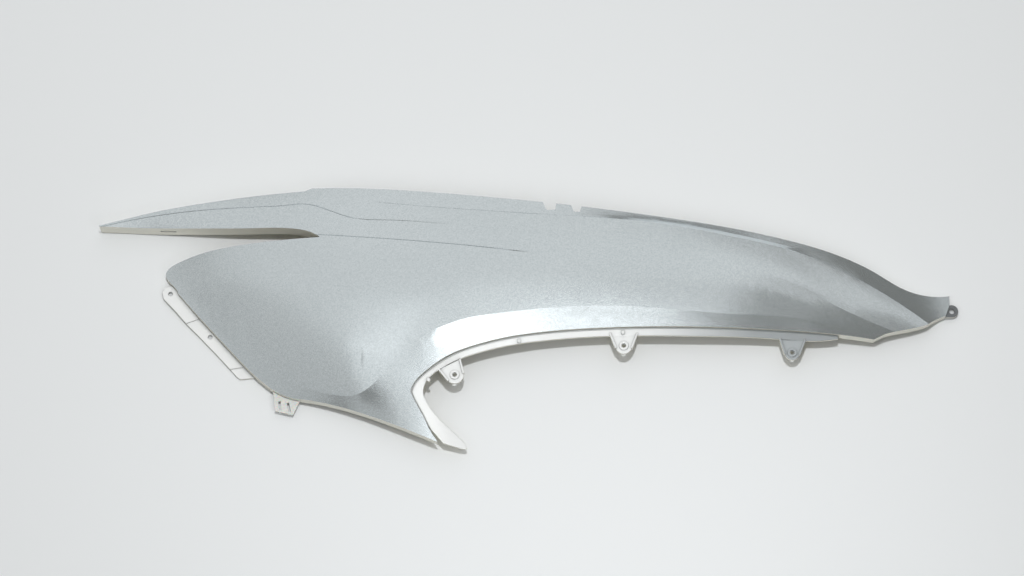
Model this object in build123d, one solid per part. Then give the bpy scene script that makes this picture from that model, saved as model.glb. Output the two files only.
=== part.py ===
from build123d import *
import os

# Left side panel for a scooter's rear body: one injection-moulded ABS shell.
# It lies outer face up.  X runs along the panel to the tail, Y to the seat
# edge, Z out of the panel.  Millimetres.

# Shell
wall = 2.5                  # ABS wall
skirt = 11.0                # depth of the turned-down edge round the shell
blade_skirt = 18.0          # deeper edge under the long front blade
arch_skirt = 4.7            # round the wheel arch it ends inside the lip's thickness
skin_low = -60.0            # underside of the construction blocks, below any edge

# How far each moulded style line raises the surface above the last one
shoulder_step = 0.8         # at the seat-edge band
blade_step = 1.1            # along the blade
lobe_step = 1.4             # where the lobe starts
step_half_width = 0.6       # half the plan width of each step

# Recessed lip round the wheel arch
lip_drop = 3.0              # how far the lip sits under the painted face
groove_width = 1.4          # fine channel between the painted face and the lip
groove_depth = 1.2

# Fixings: clearance for an M4 screw, and for a push clip at the tail
screw_hole = 4.3
clip_hole = 5.2
boss_wall = 2.2             # raised ring round a tab's hole
boss_rise = 0.8
rib = 1.8                   # thickness of a tab's side ribs
rib_rise = 1.6
flange_thickness = 3.0
clip_thickness = 2.2
clip_slot = (2.2, 9.0)
nub_radius = 1.7
nub_length = 4.0

redraw_step = 20.0          # spacing of the points that redraw a moved outline
redraw_length = 120.0       # length of each stretch of it
bench_trim = 0.4            # the lowest edges are trimmed level at this height

# The style lines of the outer skin, as (x, y, z), tip to tail.
# The first and last run a little outside the trimmed edge.
seat_line = [(-417, 111.5, 18), (-356, 118.5, 20.5), (-262, 133.5, 24), (-168, 140.5, 26),
             (-73, 134.5, 26.5), (115, 112, 25.5), (208, 98, 22), (255, 87.5, 18.5),
             (303, 72.5, 12.5), (349, 48, 7.5), (377, 41, 4), (411, 42, 1.5)]
lip_line = [(-417, 105, 19.5), (-308, 119.5, 24.5), (-250, 125.5, 26.8), (-205, 126, 28.9),
            (-120, 123, 31.3), (21, 109.5, 31.8), (207, 82, 28.5), (254, 71, 26), (301, 56, 21.3),
            (347, 31.5, 14.5), (376, 27, 8), (409, 27, 4.5)]
shoulder_line = [(-416, 97.5, 20.5), (-355, 109, 23), (-308, 114.5, 26), (-214, 121, 30.2),
                 (-120, 113.5, 33.6), (21, 102, 34.8), (114, 94.5, 34.5), (207, 77.5, 32.7),
                 (253, 65.5, 30), (300, 45.5, 25.5), (346, 18.5, 20.8), (372, 0, 18.5),
                 (407, -25, 14)]
crown_line = [(-418, 67, 0), (-379, 63, 5), (-331, 55, 12.5), (-307, 53, 19.5), (-212, 48.5, 38),
              (-118, 45.5, 46), (-26, 45, 48.3), (66, 47, 48.2), (159, 50.5, 45.5),
              (205, 47.5, 43), (298, 7, 30), (345, -11, 22), (406, -38, 12)]
ridge_line = [(-418, 58.5, -4), (-379, 52.5, 1), (-282, 31.5, 23), (-234, 19, 32),
              (-141, -8.5, 40.8), (-116, -16.5, 41), (-90, -13, 41.2), (-63, -3, 41.6),
              (-26, 3.5, 42), (20, 8.5, 42.2), (112, 9, 41.2), (204, 3, 36.8), (251, 1, 33),
              (297, -8.5, 26.5), (344, -18.5, 19), (406, -44, 9)]
scallop_line = [(-418, 42, -9), (-379, 42, 0), (-330, 35.5, 10.5), (-281, -13.5, 14.2),
                (-253, -40.5, 15.5), (-210, -60.5, 20.3), (-168, -71.5, 26.3), (-152, -69, 30),
                (-127, -43, 37), (-116, -29, 39.4), (-99, -24, 39.4), (-72, -12.5, 38.7),
                (-26, -3.5, 38.2), (20, 2, 38.2), (112, 3, 37.2), (205, -3, 33.2),
                (251, -5.5, 29.9), (298, -14.5, 24.3), (345, -23.5, 17), (406, -49, 7)]
foot_line = [(-417, 23, -12), (-379, 28, -4), (-340, 29, 8), (-306, 2, 11.8), (-246, -59, 13.8),
             (-210, -76, 13.8), (-163, -87, 18.2), (-117, -104.5, 22.8), (-81, -121, 21.5),
             (-57, -125, 16.5), (-28, -102, 11), (6, -62, 11.5), (43, -38, 16.5), (89, -26, 21.5),
             (159, -23, 22.5), (251, -24.5, 19.5), (298, -28.5, 16), (345, -34, 11),
             (407, -56, 1)]
blade_step_line = [(-416, 92.5), (-355, 104.5), (-261, 111.5), (-218, 113.5), (-207, 114),
                   (-190, 108.5), (-157, 97.5), (-138, 96.5), (-45, 88), (30, 80), (160, 72),
                   (299, 34), (346, 11.5), (406, -28.5)]
lobe_step_line = [(-416, 78.5), (-354, 77.5), (-213, 82), (-166, 79), (-26, 64.5), (29, 58),
                  (113, 59.5), (159, 61.5), (206, 59.5), (252, 41), (298, 22), (346, 3.5),
                  (406, -33)]


def smooth_line(points, axis):
    """Natural cubic spline through the points, giving coordinate number axis at any x."""
    stations = [p[0] for p in points]
    values = [p[axis] for p in points]
    count = len(stations)
    gap = [stations[i + 1] - stations[i] for i in range(count - 1)]
    slope = [(values[i + 1] - values[i]) / gap[i] for i in range(count - 1)]
    pivot = [1.0] * count
    bend = [0.0] * count
    for i in range(1, count - 1):
        pivot[i] = 2 * (gap[i - 1] + gap[i])
        bend[i] = 6 * (slope[i] - slope[i - 1])
        if i > 1:
            ratio = gap[i - 1] / pivot[i - 1]
            pivot[i] -= ratio * gap[i - 1]
            bend[i] -= ratio * bend[i - 1]
    for i in range(count - 2, 0, -1):
        bend[i] = (bend[i] - gap[i] * bend[i + 1]) / pivot[i]

    def value(x):
        i = 0
        while i < count - 2 and x > stations[i + 1]:
            i += 1
        a = (stations[i + 1] - x) / gap[i]
        b = 1 - a
        curve = (a ** 3 - a) * bend[i] + (b ** 3 - b) * bend[i + 1]
        return a * values[i] + b * values[i + 1] + curve * gap[i] ** 2 / 6

    return value


def ramp(x, start, end):
    """0 before start, 1 after end, eased between them."""
    t = min(1.0, max(0.0, (x - start) / (end - start)))
    return t * t * (3 - 2 * t)


style_lines = [(smooth_line(line, 1), smooth_line(line, 2)) for line in
               (seat_line, lip_line, shoulder_line, crown_line, ridge_line, scallop_line,
                foot_line)]
blade_step_y = smooth_line(blade_step_line, 1)
lobe_step_y = smooth_line(lobe_step_line, 1)


def crease(x):
    """How sharp each style line is at x: 0 rolls smoothly across, 1 is a full crease."""
    lip = ramp(x, 130, 300)
    shoulder = ramp(x, -145, -131)
    crown = ramp(x, 200, 260)
    ridge = 0.35 + 0.65 * ramp(x, -120, -70) - 0.5 * ramp(x, 230, 290)
    scallop = 0.7 - 0.7 * ramp(x, -130, -102)
    return [1.0, lip, shoulder, crown, ridge, scallop, 1.0]


def skin_spans(x):
    """Cubic spans of the outer skin at x, from the seat edge down: y and z of 4 control points."""
    y = [line[0](x) for line in style_lines]
    z = [line[1](x) for line in style_lines]
    last = len(y) - 1
    chord = [(z[i + 1] - z[i]) / (y[i + 1] - y[i]) for i in range(last)]
    rolled = [chord[0]] * (last + 1)
    rolled[last] = chord[last - 1]
    for i in range(1, last):
        before = y[i - 1] - y[i]
        after = y[i] - y[i + 1]
        rolled[i] = (chord[i - 1] * after + chord[i] * before) / (before + after)
    sharp = crease(x)
    spans = []
    for i in range(last):
        top = rolled[i] + sharp[i] * ((3 * chord[i] - rolled[i + 1]) / 2 - rolled[i])
        low = rolled[i + 1] + sharp[i + 1] * ((3 * chord[i] - rolled[i]) / 2 - rolled[i + 1])
        third = (y[i + 1] - y[i]) / 3
        ys = [y[i], y[i] + third, y[i + 1] - third, y[i + 1]]
        zs = [z[i], z[i] + third * top, z[i + 1] - third * low, z[i + 1]]
        spans.append((ys, zs))
    return spans


def split_span(span, y):
    """Cut one cubic span at y."""
    t = (y - span[0][0]) / (span[0][3] - span[0][0])

    def halves(p):
        a = [p[i] + t * (p[i + 1] - p[i]) for i in range(3)]
        b = [a[i] + t * (a[i + 1] - a[i]) for i in range(2)]
        c = b[0] + t * (b[1] - b[0])
        return [p[0], a[0], b[0], c], [c, b[1], a[2], p[3]]

    y_first, y_rest = halves(span[0])
    z_first, z_rest = halves(span[1])
    return (y_first, z_first), (y_rest, z_rest)


def lowered(span, drop):
    return span[0], [z - drop for z in span[1]]


def section(x, depth):
    """Closed wire at x round the block that lies deeper than depth under the skin."""
    seat, band, flank, upper, ridge, lower = [lowered(span, depth) for span in skin_spans(x)]
    half = step_half_width
    blade_y = blade_step_y(x)
    lobe_y = lobe_step_y(x)
    above_blade, rest = split_span(flank, blade_y + half)
    rest = split_span(rest, blade_y - half)[1]
    above_lobe, rest = split_span(rest, lobe_y + half)
    below_lobe = split_span(rest, lobe_y - half)[1]

    lobe = lobe_step * (1 - ramp(x, -60, 30))
    blade = lobe + blade_step * (1 - ramp(x, -130, -40))
    shoulder = shoulder_step * ramp(x, -145, -131)
    seat = lowered(seat, blade)
    band = lowered(band, blade)
    band[0][2:] = [y + half for y in band[0][2:]]
    band[1][2:] = [z - shoulder for z in band[1][2:]]
    above_blade = lowered(above_blade, blade)
    above_lobe = lowered(above_lobe, lobe)

    edges = []
    previous = None
    for ys, zs in (seat, band, above_blade, above_lobe, below_lobe, upper, ridge, lower):
        points = [(x, y, z) for y, z in zip(ys, zs)]
        if previous and (ys, zs) not in (band, upper, ridge, lower):
            edges.append(Line(previous, points[0]))
        edges.append(Bezier(*points))
        previous = points[-1]
    first = (x, seat[0][0], seat[1][0])
    low_front = (x, previous[1], skin_low)
    low_back = (x, first[1], skin_low)
    edges += [Line(previous, low_front), Line(low_front, low_back), Line(low_back, first)]
    return Wire(edges)


stations = [-412, -382, -352, -324, -298, -272, -248, -228, -210, -193, -177, -161, -145, -131,
            -117, -102, -84, -60, -28, 10, 55, 105, 155, 200, 240, 278, 312, 342, 372, 405]


def below(depth):
    """Everything deeper than this under the outer skin."""
    return Solid.make_loft([section(x, depth) for x in stations])


# Plan outline of the painted face, counter-clockwise from the tip of the blade
blade_foot = [(-402.8, 95.8), (-355, 93.7), (-307.5, 91.4), (-260, 89.5), (-213, 87.2),
              (-205, 85.2), (-195, 79.6)]
lobe_edge = [(-195, 78.4), (-212, 77.5), (-236, 75.9), (-283, 71.3), (-306.5, 67.3),
             (-321.5, 63.2), (-331, 59.7), (-337.5, 55.5), (-339.6, 51), (-337.5, 45.8),
             (-327.5, 32.7)]
front_edge = [(-327.5, 32.7), (-306, 8), (-276.5, -24), (-246, -54.5), (-233.5, -63.6),
              (-210, -71.6)]
foot_edge = [(-210, -71.6), (-163.5, -83), (-117, -100.2), (-83.3, -113.8)]
tongue_edge = [(-84.2, -112.1), (-89.7, -104), (-99, -86.2), (-105.5, -74.7), (-108, -69)]
arch_edge = [(-108, -68), (-105, -61), (-94.5, -49.7), (-72, -33), (-49, -23.6), (-26, -17.7),
             (20, -10.6), (66, -7.4), (112, -6.2), (204.5, -7.7), (274, -11.3), (320, -16.1)]
tail_foot = [(330.5, -11), (344.5, -7.8), (364, -3), (371, -0.5)]
tail_root = [(371, -0.5), (384, 7.8), (389.5, 10.2)]
tail_end = (394.3, 22.5)
seat_edge = [(395, 31.7), (385.5, 30.5), (366.5, 31.6), (348, 37.6), (325, 51.4), (301.5, 62.5),
             (254.5, 77.6), (208, 88.4), (114.5, 104), (14, 116.4), (-73.5, 125.3),
             (-120.5, 129.2), (-167.5, 131.5), (-203.5, 131.6)]
blade_edge = [(-210, 128.6), (-261.5, 123.5), (-308.5, 117), (-355.5, 108.6), (-379, 102.9),
              (-402.4, 97.2)]

outline = Face(Wire([
    Spline(*blade_foot), ThreePointArc(blade_foot[-1], (-194.4, 79), lobe_edge[0]),
    Spline(*lobe_edge), Spline(*front_edge), Spline(*foot_edge),
    Line(foot_edge[-1], tongue_edge[0]), Spline(*tongue_edge), Line(tongue_edge[-1], arch_edge[0]),
    Spline(*arch_edge), Line(arch_edge[-1], tail_foot[0]), Spline(*tail_foot), Spline(*tail_root),
    Line(tail_root[-1], tail_end), Line(tail_end, seat_edge[0]), Spline(*seat_edge),
    Line(seat_edge[-1], blade_edge[0]), Spline(*blade_edge),
    ThreePointArc(blade_edge[-1], (-403.4, 96.5), blade_foot[0]),
]))


def outline_moved(amount):
    """The outline moved outwards by amount (inwards if negative), redrawn in plain splines."""
    stretches = []
    for edge in offset(outline, amount=amount, kind=Kind.ARC).face().outer_wire().edges():
        count = max(1, round(edge.length / redraw_length))
        stretches += [(edge, i / count, (i + 1) / count) for i in range(count)]
    edges = []
    for edge, first, last in stretches:
        share = last - first
        steps = max(3, int(edge.length * share / redraw_step))
        points = [edge @ (first + share * i / steps) for i in range(steps + 1)]
        if edges:
            points[0] = edges[-1] @ 1
        if len(edges) == len(stretches) - 1:
            points[-1] = edges[0] @ 0
        if edge.geom_type == GeomType.LINE or edge.length < wall:
            edges.append(Line(points[0], points[-1]))
        else:
            edges.append(Spline(*points, tangents=(edge % first, edge % last)))
    return Face(Wire(edges))


def column(face):
    """Upright block over a plan face, taller than the panel."""
    return extrude(face, amount=-2 * skin_low, dir=(0, 0, 1)).moved(Location((0, 0, skin_low)))


def plate(face, top, thickness=wall):
    """Flat plate over a plan face with its upper face at height top."""
    return extrude(face, amount=thickness, dir=(0, 0, 1)).moved(Location((0, 0, top - thickness)))


def hole(x, y, diameter):
    return Pos(x, y, 0) * Cylinder(diameter / 2, -2 * skin_low)


def polygon(*points):
    return Face(Wire(Polyline(*points, close=True).edges()))


# The shell: the skin, with an edge turned straight down all round it
panel = column(outline) & below(0)
panel = panel - (column(outline_moved(-wall)) & below(wall))
blade_zone = polygon((-190, 160), (-430, 160), (-430, 83), (-190, 83))
body_zone = polygon((-190, 160), (-190, 83), (-360, 83), (-360, -130), (420, -130), (420, 160))
arch_zone = polygon((288, -45), (288, 5), (100, 16), (-20, 8), (-80, -15), (-122, -60),
                    (-120, -75), (-98, -104), (-86, -109), (-30, -112))
panel = panel - (column(blade_zone) & below(blade_skirt))
panel = panel - (column(body_zone) & below(skirt))
panel = panel - (column(arch_zone) & below(arch_skirt))

# The recessed lip, starting inside the thickness of the turned-down edge
lip_edge = [(286.7, -15.4), (265.4, -17.2), (223.6, -15.2), (158.7, -13.6), (66.3, -13.9),
            (20.1, -17.3), (-26.1, -24.6), (-49.1, -30.6), (-67.4, -37.9), (-81.1, -46.2),
            (-92.4, -56.2), (-96.3, -65.5), (-94.3, -75)]
flange_edge = [(-94.3, -75), (-87.2, -86), (-71.6, -101), (-57.9, -113.4)]
flange_tip = [(-56.1, -117.4), (-57.5, -119), (-62.4, -118.2), (-77.9, -114.2)]
lip_back = [(-91, -100), (-112, -68), (-100, -45), (-60, -20), (20, 0), (160, 4), (287, -6)]
lip_back_line = Polyline(flange_edge[-1], *flange_tip, *lip_back, lip_edge[0])
lip_region = Face(Wire([Spline(*lip_edge), Spline(*flange_edge)] + list(lip_back_line.edges())))
lip = (column(lip_region - outline_moved(-wall / 2)) & below(lip_drop)) - below(lip_drop + wall)
groove = (outline_moved(groove_width) - outline) & lip_region
lip = lip - (column(groove) - below(lip_drop + groove_depth))


def screw_tab(width, reach, nose, top):
    """Ribbed ear with its hole at the local origin and its root at +reach along Y."""
    half = width / 2 - 1
    ear = plate(polygon((-half, reach), (half, reach), (nose, 0), (-nose, 0)) + Circle(nose), top)
    for side in (-1, 1):
        start = Vector(side * half, reach)
        finish = Vector(side * (nose - rib / 3), -nose / 3)
        across = (finish - start).rotate(Axis.Z, 90).normalized() * (rib / 2)
        foot = polygon(start + across, finish + across, finish - across, start - across)
        ear = ear + plate(foot, top + rib_rise, wall + rib_rise)
    ear = ear + plate(Circle(screw_hole / 2 + boss_wall), top + boss_rise)
    return ear - hole(0, 0, screw_hole)


additions = [
    lip,
    Pos(-67.8, -51.3) * Rot(0, 0, 26.7) * screw_tab(width=23.6, reach=11.0, nose=8.4, top=26.5),
    Pos(88.2, -22.9) * screw_tab(width=27.6, reach=12.0, nose=7.8, top=24.8),
    Pos(244.0, -28.4) * Rot(0, 0, -3) * screw_tab(width=25.6, reach=13.0, nose=7.0, top=20.8),
]
for x, y, top in [(87.5, -10.9, 28.2), (-8.5, -19.3, 28.6), (-91.5, -57.5, 32.0)]:
    additions.append(plate(Pos(x, y) * Circle(nub_radius), top, nub_length))

# Front mounting flange under the nose, in three steps
nose_holes = [(-335.1, 33.6), (-296.6, -8.5)]
high_step = polygon((-331.5, 41), (-336.5, 41.5), (-341.4, 39), (-343, 34.5), (-341.5, 28.7),
                    (-330.2, 16.9), (-319.5, 4.6), (-306.5, 9.6), (-326, 33))
middle_step = polygon((-319.5, 4.6), (-305.9, -9), (-291.4, -24.1), (-277, -39.7),
                      (-262.5, -37.3), (-289.5, -7.5), (-305, 10.5))
low_step = polygon((-277, -39.7), (-270.1, -47.3), (-267.3, -49.2), (-253.4, -47.8),
                   (-244.8, -56), (-235.5, -62.4), (-244, -52.5), (-262, -37.2))
for face, top in ((high_step, 5.0), (middle_step, 4.2), (low_step, 3.4)):
    additions.append(plate(face, top, flange_thickness))

# Clip tongue with two slots under the lower front edge
clip = polygon((-236, -61.5), (-233.7, -80.8), (-217, -84.6), (-210.5, -70), (-212, -66))
for x, y, turn in [(-229.3, -76, 5), (-221, -77.5, 12)]:
    clip = clip - Pos(x, y) * Rot(0, 0, turn) * Rectangle(*clip_slot)
additions.append(plate(clip, 8.5, clip_thickness))

# Ring for the push clip at the tail
ring_x, ring_y = 396.1, 16.1
ring_radius = 6.0
ring_root = 388
ring = Pos(ring_x, ring_y) * Circle(ring_radius)
ring = ring + polygon((ring_root, 10.1), (ring_root, 21.5), (ring_x, 22.1), (ring_x, 10.1))
additions.append(plate(ring, 6.5, flange_thickness))

panel = panel + additions

# Cut last: the holes, two notches in the seat edge, and a small window in
# the blade's inner edge.  Edges that would reach the bench are trimmed level.
notch_front = polygon((11, 125), (16.8, 108.4), (18, 107.6), (25.3, 107.7), (28, 125))
notch_rear = polygon((37, 125), (42.6, 106.4), (44, 105.8), (48.7, 105.9), (53.5, 125))
window = Pos(-338.5, 93, 12.5) * Box(15, 12, 3)
bench = Pos(0, 0, bench_trim + skin_low) * Box(1000, 400, -2 * skin_low)
cuts = [hole(x, y, screw_hole) for x, y in nose_holes]
cuts += [hole(ring_x, ring_y, clip_hole), column(notch_front), column(notch_rear), window, bench]
panel = panel - cuts

box = panel.bounding_box()
panel = panel.moved(Location((-box.center().X, -box.center().Y, -box.min.Z)))
os.makedirs("parts", exist_ok=True)
export_step(panel, "parts/side_panel.step")
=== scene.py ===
# %% [markdown]
# A silver scooter side panel on a photographer's table
#
# The construction model already holds the true shape of this moulding: a thin
# ABS shell with a crowned face, a recessed lip, screw tabs and a tail ring.
# What is left for this lesson is everything that light does to it. We sort the
# faces by how they were finished, mix the paint, and build the studio.

# %% load the panel
import bpy, math
from collections import defaultdict
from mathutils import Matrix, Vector
from mathutils.kdtree import KDTree


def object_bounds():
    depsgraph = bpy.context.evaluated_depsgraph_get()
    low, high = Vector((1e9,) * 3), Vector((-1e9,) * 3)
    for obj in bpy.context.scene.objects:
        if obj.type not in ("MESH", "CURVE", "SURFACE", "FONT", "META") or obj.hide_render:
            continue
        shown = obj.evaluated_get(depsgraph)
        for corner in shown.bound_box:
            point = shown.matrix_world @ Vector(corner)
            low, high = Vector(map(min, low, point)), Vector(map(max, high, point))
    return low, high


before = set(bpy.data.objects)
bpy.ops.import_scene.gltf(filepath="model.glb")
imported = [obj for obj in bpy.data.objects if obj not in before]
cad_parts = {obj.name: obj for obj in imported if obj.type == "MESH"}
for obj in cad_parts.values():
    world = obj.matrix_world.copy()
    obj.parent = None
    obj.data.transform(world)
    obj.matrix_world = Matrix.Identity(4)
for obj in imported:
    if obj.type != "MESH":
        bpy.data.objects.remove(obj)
start_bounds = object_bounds()
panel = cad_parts["side_panel"]
mesh = panel.data
size_mm = [round(1000 * (high - low), 1) for low, high in zip(*start_bounds)]
print("panel:", len(mesh.polygons), "faces,", size_mm, "mm")

# %% [markdown]
# Finding which faces touch
#
# A mesh keeps a separate corner for each face that meets at a sharp edge, so
# two faces that touch may not share a corner's number. They do share its
# place. We round each place to a hundredth of a millimetre, and call two
# faces neighbours when both ends of an edge lie in the same places.

# %% neighbouring faces
steps_per_metre = 1e5
corner_of = [tuple(round(steps_per_metre * c) for c in v.co) for v in mesh.vertices]
faces_at_edge = defaultdict(list)
for face in mesh.polygons:
    corners = [corner_of[i] for i in face.vertices]
    for a, b in zip(corners, corners[1:] + corners[:1]):
        faces_at_edge[frozenset((a, b))].append(face.index)

beside = defaultdict(set)
for sharing in faces_at_edge.values():
    for index in sharing:
        beside[index].update(sharing)
print("edges:", len(faces_at_edge))

# %% [markdown]
# Sorting the faces as a paint shop would see them
#
# The painter sprays from above, so the outer skin gets the full coats. The
# turned-down walls beside it stand edge-on to the gun and get a thin one. The
# lip, the tabs and the front flange are masked for most of that and catch a
# matt layer only. The underside stays bare plastic. We find the skin by
# spreading out from the crown over faces that look upwards: vertical walls
# stop the spread, just as they part the skin from the lip on the real panel.

# %% spread from face to face
up = 0.35                     # a face looks upwards if its normal's Z is above this


def spread(seeds, allowed):
    """Every allowed face that can be reached from the seeds over allowed faces."""
    found = set(seeds)
    queue = list(seeds)
    while queue:
        for index in beside[queue.pop()] - found:
            if allowed(mesh.polygons[index].normal.z):
                found.add(index)
                queue.append(index)
    return found


def walls_of(faces):
    """The upright faces that hang from the edge of these faces."""
    touching = {i for f in faces for i in beside[f] if abs(mesh.polygons[i].normal.z) <= up}
    return spread(touching, lambda z: abs(z) <= up)


# %% sort the faces
upward = {face.index for face in mesh.polygons if face.normal.z > up}
crown = max(upward, key=lambda i: mesh.polygons[i].center.z)
skin = spread([crown], lambda z: z > up)
edge_walls = walls_of(skin) - skin
masked = (upward - skin) | (walls_of(upward - skin) - edge_walls)
print("painted faces:", len(skin), " thin walls:", len(edge_walls), " masked:", len(masked),
      " bare:", len(mesh.polygons) - len(skin) - len(edge_walls) - len(masked))

# %% [markdown]
# Ironing out the facets
#
# The face of the real moulding is polished steel copied in plastic, with no
# ripple at all. Our mesh is made of long thin triangles, and in a glossy
# finish they would show as faint streaks. The corners lie where they should,
# so only the shading needs help: a corner takes the average direction of the
# skin round it. Near a crease part of the skin tilts another way; the more
# of it does, the more the average is taken from the corner's own side alone.

# %% places on the skin
faces_of_corner = defaultdict(list)
for index in skin:
    for i in mesh.polygons[index].vertices:
        faces_of_corner[corner_of[i]].append(index)
places = list(faces_of_corner)
finder = KDTree(len(places))
for index, place in enumerate(places):
    finder.insert([c / steps_per_metre for c in place], index)
finder.balance()
print("places on the skin:", len(places))

# %% two kinds of average
near = 0.016                  # metres round a corner that are averaged
fade = 0.8                    # how much less a face at that distance counts
same_slope = math.cos(math.radians(5))
crease_share = 0.12           # with this share of strayed skin only one side counts
close = 0.008                 # metres for the average on one side of a crease
same_side = math.cos(math.radians(9))
trace = 1e-9                  # so little of its own direction that only an empty sum shows it


def skin_around(place):
    """The average direction of the skin near a corner, and how much of it strays."""
    share = defaultdict(float)
    for _, index, gap in finder.find_range([c / steps_per_metre for c in place], near):
        for face in faces_of_corner[places[index]]:
            share[face] = max(share[face], mesh.polygons[face].area * (1 - fade * gap / near))
    average = Vector()
    for face, part in share.items():
        average += mesh.polygons[face].normal * part
    average.normalize()
    strayed = sum(part for face, part in share.items()
                  if mesh.polygons[face].normal.dot(average) < same_slope)
    return average, min(1, strayed / sum(share.values()) / crease_share)


def own_side(place, direction):
    """The average of the close faces that lie on the same side of a crease."""
    total = direction * trace
    for _, index, _ in finder.find_range([c / steps_per_metre for c in place], close):
        for face in faces_of_corner[places[index]]:
            normal = mesh.polygons[face].normal
            if normal.dot(direction) > same_side:
                total += normal * mesh.polygons[face].area
    return total.normalized()


# %% write the shading
ironed = {place: skin_around(place) for place in places}
shading = [corner.vector.copy() for corner in mesh.corner_normals]
for index in skin:
    for loop in mesh.polygons[index].loop_indices:
        place = corner_of[mesh.loops[loop].vertex_index]
        average, one_side = ironed[place]
        if one_side > 0:
            average = own_side(place, shading[loop]) * one_side + average * (1 - one_side)
        shading[loop] = average.normalized()
mesh.normals_split_custom_set(shading)
print("places away from a crease:", sum(one_side < 1 for _, one_side in ironed.values()))

# %% [markdown]
# Small helpers
#
# Colours are easiest to read as the hex values of a paint chart, so one
# function turns them into the linear values that Blender works with. Another
# adds a shader node together with its settings and its links. A noise texture
# gives values round one half; a mix node keeps its colours at sockets 6 and 7.


# %% colours and nodes
def linear(hex_colour):
    """An sRGB hex colour as linear red, green, blue and alpha."""
    parts = [int(hex_colour[i:i + 2], 16) / 255 for i in (1, 3, 5)]
    return tuple(c / 12.92 if c <= 0.04045 else ((c + 0.055) / 1.055) ** 2.4 for c in parts) + (1,)


def add(tree, kind, links=None, **settings):
    """One shader node with its settings; links maps an input to the socket it takes."""
    node = tree.nodes.new("ShaderNode" + kind)
    for name, value in settings.items():
        if hasattr(node, name):
            setattr(node, name, value)
        else:
            node.inputs[name.replace("_", " ")].default_value = value
    for name, source in (links or {}).items():
        tree.links.new(source, node.inputs[name])
    return node


def new_material(name):
    """An empty material and its node tree."""
    material = bpy.data.materials.new(name)
    material.use_nodes = True
    material.node_tree.nodes.clear()
    return material, material.node_tree


def per_mm(spacing):
    """Texture scale for a pattern that repeats about every so many millimetres."""
    return 1000 / spacing


factor, first, second = 0, 6, 7   # a mix node's sockets, when it mixes colours
noise_low, noise_high = 0.3, 0.7  # most of a noise texture lies between these
print("mid grey in linear light:", round(linear("#808080")[0], 3))

# %% [markdown]
# Silver metallic basecoat under clear coat
#
# Its common name is two-coat silver metallic. Aluminium flakes lie almost
# flat in a thin basecoat, and a clear lacquer covers them. The flakes make a
# broad, soft glow (such paint is given metallic 0.8 to 1 and roughness 0.2 to
# 0.4), and the lacquer adds a faint, sharper reflection on top (the coat).
# Each flake tips a little, so the brightness changes in tiny cells. Real
# flakes are under 0.1 mm; at this distance they would vanish, so the cells
# here are coarser. The gun's passes leave broad bands that are barely lighter
# or darker.

# %% flakes and spray passes
flake_mm = 0.7
spray_pass_mm = 180
pass_strength = 0.15          # how far a pass shifts the tone, from darkest to palest flake
paint, tree = new_material("silver_paint")
place = add(tree, "TexCoord").outputs["Object"]
flakes = add(tree, "TexVoronoi", {"Vector": place}, Scale=per_mm(flake_mm))
passes = add(tree, "TexNoise", {"Vector": place}, Scale=per_mm(spray_pass_mm), Detail=1.0)
flake_tone = add(tree, "SeparateColor", {"Color": flakes.outputs["Color"]}).outputs["Red"]
pass_tone = add(tree, "MapRange", {"Value": passes.outputs["Fac"]},
                From_Min=noise_low, From_Max=noise_high,
                To_Min=-pass_strength, To_Max=pass_strength).outputs["Result"]
tone = add(tree, "Math", {0: flake_tone, 1: pass_tone}, operation="ADD").outputs["Value"]
silver = add(tree, "Mix", {factor: tone}, data_type="RGBA")
silver.inputs[first].default_value = linear("#C6CFD3")
silver.inputs[second].default_value = linear("#D8E0E4")
print("flake cells", flake_mm, "mm, spray passes", spray_pass_mm, "mm")

# %% [markdown]
# Painted shade in inner corners, and the lacquer
#
# We paint shade into the colour in inner corners, so the little steps along
# the panel read as fine grey lines. Ambient occlusion measures how open each
# spot is, and we darken the paint where it is not: painted shade. Sprayed
# lacquer never dries quite flat: its gentle ripple is known as orange peel.

# %% silver paint
corner_reach = 0.003          # metres over which an inner corner counts
hidden, exposed = 0.3, 0.9    # openness at which the grey is strongest, and gone
orange_peel_mm = 3.0
coat_relief = 0.0002          # metres of height that flakes and orange peel stand for
# painted shade: the paint's colour turns dark grey in inner corners
corners = add(tree, "AmbientOcclusion", samples=8, Distance=corner_reach)
painted_corner_shade = add(tree, "MapRange", {"Value": corners.outputs["AO"]}, From_Min=hidden,
              From_Max=exposed, To_Min=0.3, To_Max=1.0).outputs["Result"]
shaded = add(tree, "Mix", {factor: painted_corner_shade, second: silver.outputs[2]}, data_type="RGBA")
shaded.inputs[first].default_value = linear("#6A7073")
flake_tilt = add(tree, "Bump", {"Height": flake_tone}, Strength=0.06, Distance=coat_relief)
peel = add(tree, "TexNoise", {"Vector": place}, Scale=per_mm(orange_peel_mm), Detail=1.0)
peel_bump = add(tree, "Bump", {"Height": peel.outputs["Fac"]}, Strength=0.12,
                Distance=coat_relief)
shade = add(tree, "BsdfPrincipled",
            {"Base Color": shaded.outputs[2], "Normal": flake_tilt.outputs["Normal"],
             "Coat Normal": peel_bump.outputs["Normal"]},
            Metallic=0.9, Roughness=0.25, Coat_Weight=0.5, Coat_Roughness=0.1)
add(tree, "OutputMaterial", {"Surface": shade.outputs["BSDF"]})
print("silver paint: orange peel", orange_peel_mm, "mm,", len(tree.nodes), "nodes")

# %% [markdown]
# The thin coat on the turned-down walls
#
# A painter calls this overspray: the silver is only a veil and the ivory ABS
# shines through, so the walls look warmer and paler than the face. Most of
# the light comes back from the plastic, so this finish is hardly metallic,
# and without lacquer it is satin.

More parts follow.
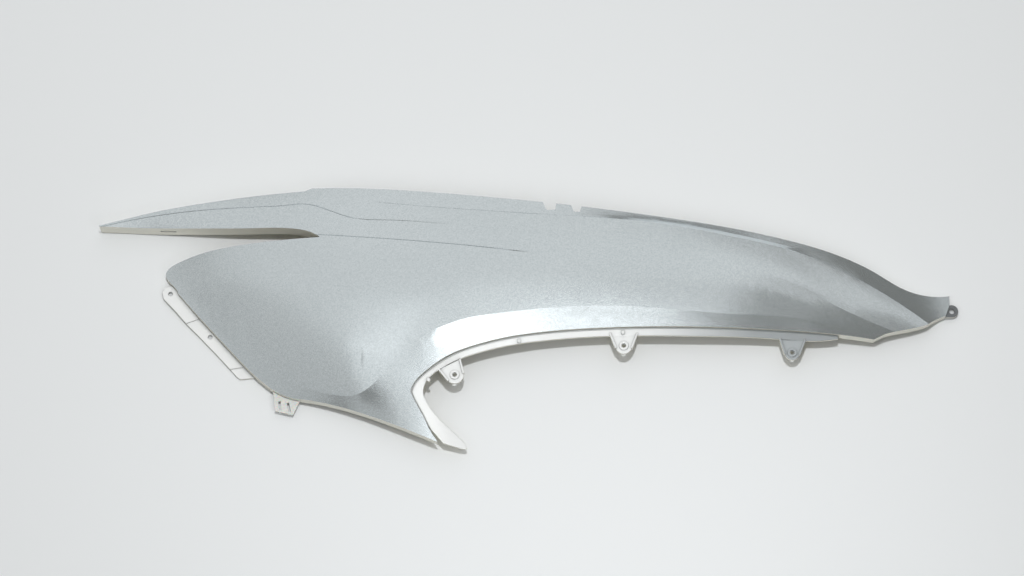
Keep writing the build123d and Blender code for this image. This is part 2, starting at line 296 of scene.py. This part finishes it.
# %% thin coat
veil_mm = 12
dust_relief = 0.0001          # metres of height that a dusty or grainy finish stands for
thin, tree = new_material("thin_edge_coat")
place = add(tree, "TexCoord").outputs["Object"]
veil = add(tree, "TexNoise", {"Vector": place}, Scale=per_mm(veil_mm), Detail=3.0)
warm = add(tree, "Mix", {factor: veil.outputs["Fac"]}, data_type="RGBA")
warm.inputs[first].default_value = linear("#F2EFE2")
warm.inputs[second].default_value = linear("#E4E4DC")
# painted shade in inner corners, as on the face
corners = add(tree, "AmbientOcclusion", samples=8, Distance=corner_reach)
painted_corner_shade = add(tree, "MapRange", {"Value": corners.outputs["AO"]}, From_Min=hidden,
              From_Max=exposed, To_Min=0.2, To_Max=1.0).outputs["Result"]
shaded = add(tree, "Mix", {factor: painted_corner_shade, second: warm.outputs[2]}, data_type="RGBA")
shaded.inputs[first].default_value = linear("#6A7073")
dust = add(tree, "TexNoise", {"Vector": place}, Scale=per_mm(flake_mm), Detail=2.0)
dust_bump = add(tree, "Bump", {"Height": dust.outputs["Fac"]}, Strength=0.15,
                Distance=dust_relief)
shade = add(tree, "BsdfPrincipled",
            {"Base Color": shaded.outputs[2], "Normal": dust_bump.outputs["Normal"]},
            Metallic=0.2, Roughness=0.45)
add(tree, "OutputMaterial", {"Surface": shade.outputs["BSDF"]})
print("thin coat: clouds of", veil_mm, "mm")

# %% [markdown]
# The masked lip, tabs and flange
#
# These faces show a dry first coat of the same silver without lacquer. Dry
# spray scatters light: it looks paler and matt, with a fine sandy grain.
# Towards the tail these faces mirror darker surroundings, so we fade one
# colour into a darker grey along the panel: painted shade.

# %% dry coat
grain_mm = 0.9
cloud_mm = 25
tail_shade_from, tail_shade_to = 0.09, 0.21  # metres along the panel between which the coat turns grey
dry, tree = new_material("dry_silver_coat")
place = add(tree, "TexCoord").outputs["Object"]
grain = add(tree, "TexNoise", {"Vector": place}, Scale=per_mm(grain_mm), Detail=2.0)
cloud = add(tree, "TexNoise", {"Vector": place}, Scale=per_mm(cloud_mm), Detail=2.0)
pale = add(tree, "Mix", {factor: cloud.outputs["Fac"]}, data_type="RGBA")
pale.inputs[first].default_value = linear("#F0F3F4")
pale.inputs[second].default_value = linear("#FAFCFC")
along = add(tree, "SeparateXYZ", {"Vector": place}).outputs["X"]
# painted shade towards the tail: the coat's colour fades to grey along the panel
painted_tail_shade = add(tree, "MapRange", {"Value": along}, From_Min=tail_shade_from, From_Max=tail_shade_to,
             To_Min=0.0, To_Max=1.0).outputs["Result"]
coat = add(tree, "Mix", {factor: painted_tail_shade, first: pale.outputs[2]}, data_type="RGBA")
coat.inputs[second].default_value = linear("#B4BABD")
print("dry coat: grain", grain_mm, "mm, clouds", cloud_mm, "mm")

# %% [markdown]
# Small edges that catch the light
#
# The tabs have rims and ribs under a millimetre high. A moulded edge is never
# knife-sharp, and its rounding catches a thin line of light; the bevel node
# gives that in the shading alone. Inner corners get painted shade here too.

# %% edges of the dry coat
edge_radius = 0.0012
rounding = add(tree, "Bevel", samples=6, Radius=edge_radius)
# painted shade: the coat's colour darkens in inner corners
corners = add(tree, "AmbientOcclusion", samples=8, Distance=0.004)
painted_corner_shade = add(tree, "MapRange", {"Value": corners.outputs["AO"]}, From_Min=0.35, From_Max=0.95,
              To_Min=0.45, To_Max=1.0).outputs["Result"]
shaded = add(tree, "Mix", {factor: painted_corner_shade, second: coat.outputs[2]}, data_type="RGBA")
shaded.inputs[first].default_value = linear("#7E8486")
grain_bump = add(tree, "Bump",
                 {"Height": grain.outputs["Fac"], "Normal": rounding.outputs["Normal"]},
                 Strength=0.25, Distance=dust_relief)
shade = add(tree, "BsdfPrincipled",
            {"Base Color": shaded.outputs[2], "Normal": grain_bump.outputs["Normal"]},
            Metallic=0.45, Roughness=0.45)
add(tree, "OutputMaterial", {"Surface": shade.outputs["BSDF"]})
print("edges rounded by", 1000 * edge_radius, "mm in the shading")

# %% [markdown]
# Bare ABS underneath
#
# The moulding itself is natural ABS, an ivory-grey plastic with an IOR of
# about 1.53. The inside of the tool is left with a fine spark-eroded texture,
# so this side is satin. Some silver mist always drifts round the edge, and it
# settles most near the rim, which lies lowest here.

# %% bare plastic
texture_mm = 0.8
drift_mm = 40
mist_low, mist_high = 0.004, 0.022  # metres above the table where the mist fades out
thickest = 0.75               # share of silver at the rim
abs_ior = 1.53
bare, tree = new_material("bare_abs")
place = add(tree, "TexCoord").outputs["Object"]
height = add(tree, "SeparateXYZ", {"Vector": place}).outputs["Z"]
drift = add(tree, "TexNoise", {"Vector": place}, Scale=per_mm(drift_mm), Detail=3.0)
reach = add(tree, "MapRange", {"Value": height}, From_Min=mist_low, From_Max=mist_high,
            To_Min=thickest, To_Max=0.0).outputs["Result"]
mist = add(tree, "Math", {0: reach, 1: drift.outputs["Fac"]}, operation="MULTIPLY")
plastic = add(tree, "Mix", {factor: mist.outputs["Value"]}, data_type="RGBA")
plastic.inputs[first].default_value = linear("#D9CFA8")
plastic.inputs[second].default_value = linear("#A9AFB1")
pits = add(tree, "TexNoise", {"Vector": place}, Scale=per_mm(texture_mm), Detail=3.0)
pit_bump = add(tree, "Bump", {"Height": pits.outputs["Fac"]}, Strength=0.3,
               Distance=dust_relief)
shade = add(tree, "BsdfPrincipled",
            {"Base Color": plastic.outputs[2], "Normal": pit_bump.outputs["Normal"]},
            Roughness=0.45, IOR=abs_ior)
add(tree, "OutputMaterial", {"Surface": shade.outputs["BSDF"]})
print("bare plastic: pits", texture_mm, "mm, mist up to", 1000 * mist_high, "mm")

# %% [markdown]
# Plain moulded ABS, and a ring in painted shade
#
# The clip tongue under the front edge shows the natural plastic through a
# thin mist of paint. ABS is a little cloudy: light enters, scatters and comes
# out again, so a touch of subsurface scattering keeps it from looking like
# The tail ring is coloured dark grey: painted shade, for the dark surroundings it mirrors.
# Both change between two close tones in soft specks, so one function serves.


# %% natural tongue and ring in painted shade
def speckled_plastic(name, light_hex, dark_hex, speck_mm, roughness, cloudy):
    """Plastic in two close tones that change in soft specks."""
    material, tree = new_material(name)
    place = add(tree, "TexCoord").outputs["Object"]
    specks = add(tree, "TexNoise", {"Vector": place}, Scale=per_mm(speck_mm), Detail=3.0)
    tone = add(tree, "Mix", {factor: specks.outputs["Fac"]}, data_type="RGBA")
    tone.inputs[first].default_value = linear(light_hex)
    tone.inputs[second].default_value = linear(dark_hex)
    speck_bump = add(tree, "Bump", {"Height": specks.outputs["Fac"]}, Strength=0.3,
              Distance=dust_relief)
    shade = add(tree, "BsdfPrincipled",
                {"Base Color": tone.outputs[2], "Normal": speck_bump.outputs["Normal"]},
                Roughness=roughness, IOR=abs_ior, Subsurface_Weight=cloudy,
                Subsurface_Scale=0.002)
    add(tree, "OutputMaterial", {"Surface": shade.outputs["BSDF"]})
    print(name, "specks", speck_mm, "mm")
    return material


natural = speckled_plastic("natural_abs", "#E4E6E2", "#C3C6C4", 2.5, 0.35, 0.3)
# painted shade: the tail ring is given dark greys
ring_shade = speckled_plastic("ring_in_painted_shade", "#7A7E80", "#4B4F52", 1.5, 0.5, 0.0)

# %% [markdown]
# Giving each face its finish
#
# A mesh can carry several materials, and each face keeps the number of its
# own. Only those numbers change here, so the shape stays as it was made.

# %% hand out the finishes
ring_start = 0.389            # the tail ring lies beyond this x, in metres
tongue_left, tongue_right = -0.236, -0.209
tongue_low, tongue_high = -0.091, -0.068
finishes = [paint, dry, bare, natural, ring_shade, thin]


def finish_of(face):
    """The material of one face, by how it was sorted and where it lies."""
    x, y, _ = face.center
    if face.index in skin:
        return paint
    if face.index in edge_walls:
        return thin
    # the tail ring gets its colour of painted shade
    if x > ring_start:
        return ring_shade
    if tongue_left < x < tongue_right and tongue_low < y < tongue_high:
        return natural
    return dry if face.index in masked else bare


mesh.materials.clear()
for material in finishes:
    mesh.materials.append(material)
for face in mesh.polygons:
    face.material_index = finishes.index(finish_of(face))
for number, material in enumerate(finishes):
    print(material.name, sum(face.material_index == number for face in mesh.polygons), "faces")

# %% [markdown]
# A pale table
#
# Parts are photographed on a matt white board, such as painted MDF. Matt
# means rough: it takes soft shadows and shows no reflection of the lamps.

# %% table
table_size = 12.0
half = table_size / 2
board = bpy.data.meshes.new("table")
board.from_pydata([(-half, -half, 0), (half, -half, 0), (half, half, 0), (-half, half, 0)],
                  [], [(0, 1, 2, 3)])
table = bpy.data.objects.new("table", board)
bpy.context.scene.collection.objects.link(table)
white_board, tree = new_material("white_board")
shade = add(tree, "BsdfPrincipled", Base_Color=linear("#E2E5E7"), Roughness=0.9)
shade.inputs["Specular IOR Level"].default_value = 0.2
add(tree, "OutputMaterial", {"Surface": shade.outputs["BSDF"]})
board.materials.append(white_board)
print("table:", table_size, "m square")

# %% [markdown]
# Lamps
#
# Glossy things are lit by what they mirror. Wide, dim panels above and behind
# give the skin its even grey, and it darkens where they end. Two brighter
# boxes hang low in front and make the band round the wheel arch glow, and a
# small faint one picks out the ridge of the hollow corner. A small lamp
# straight overhead draws the crisp shadows under the lip and tabs; it is
# hidden from reflections, so that it leaves no hot spot in the flakes. The
# world adds a little warm fill, as pale walls do.


# %% lamps
def area_light(name, place, width, depth, glow, in_reflections=True):
    """A soft box that faces straight down; glow is its brightness, seen directly."""
    data = bpy.data.lights.new(name, "AREA")
    data.shape = "RECTANGLE"
    data.size = width
    data.size_y = depth
    data.energy = glow * math.pi * width * depth
    light = bpy.data.objects.new(name, data)
    light.location = place
    light.visible_camera = False
    light.visible_glossy = in_reflections
    bpy.context.scene.collection.objects.link(light)
    print(name, round(data.energy, 1), "W")


ceiling_z = 2.2               # metres above the table
box_z = 0.6
area_light("ceiling", (0.275, 2.5, ceiling_z), 1.75, 4.8, 0.66)
area_light("ceiling_left", (-1.55, 2.5, ceiling_z), 1.9, 4.8, 0.59)
area_light("ceiling_right", (1.6, 2.7, ceiling_z), 0.9, 3.7, 0.61)
area_light("ceiling_far", (0.6, 7.4, ceiling_z), 4.5, 5.0, 0.52)
area_light("ceiling_front", (-0.35, -0.3, ceiling_z), 1.0, 0.8, 0.85)
area_light("ceiling_corner", (0.45, -0.18, ceiling_z), 0.6, 0.56, 0.56)
area_light("left_panel", (-1.675, -1.25, ceiling_z), 1.65, 2.7, 0.42)
area_light("front_box", (0.105, -0.31, box_z), 0.28, 0.32, 2.6)
area_light("front_low", (0.07, -0.6, box_z), 0.22, 0.28, 1.7)
area_light("ridge_light", (-0.21, -0.01, box_z), 0.12, 0.1, 0.45)
area_light("overhead", (0, 0.1, 2.6), 0.1, 0.1, 970, in_reflections=False)

# %% warm fill
world = bpy.data.worlds.new("studio")
bpy.context.scene.world = world
world.use_nodes = True
background = world.node_tree.nodes["Background"]
background.inputs["Color"].default_value = linear("#F4F1E8")
background.inputs["Strength"].default_value = 0.18
print("world strength", round(background.inputs["Strength"].default_value, 2))

# %% [markdown]
# Camera
#
# The photograph looks down steeply from the panel's lower side. At this
# distance a pixel covers a little under a millimetre, which gives the lens.

# %% camera
pitch = math.radians(72.0)
distance = 2.4
mm_per_pixel = 0.93
image_width = 1024
sensor = 36
centre = Vector((-0.01435, 0.02662, 0.0246))
camera_data = bpy.data.cameras.new("camera")
camera_data.lens = sensor * distance * 1000 / (mm_per_pixel * image_width)
camera = bpy.data.objects.new("camera", camera_data)
camera.location = centre + Vector((0, -distance * math.cos(pitch), distance * math.sin(pitch)))
camera.rotation_euler = (math.pi / 2 - pitch, 0, 0)
bpy.context.scene.collection.objects.link(camera)
bpy.context.scene.camera = camera
bpy.context.scene.view_settings.view_transform = "Standard"
print("lens", round(camera_data.lens, 1), "mm")
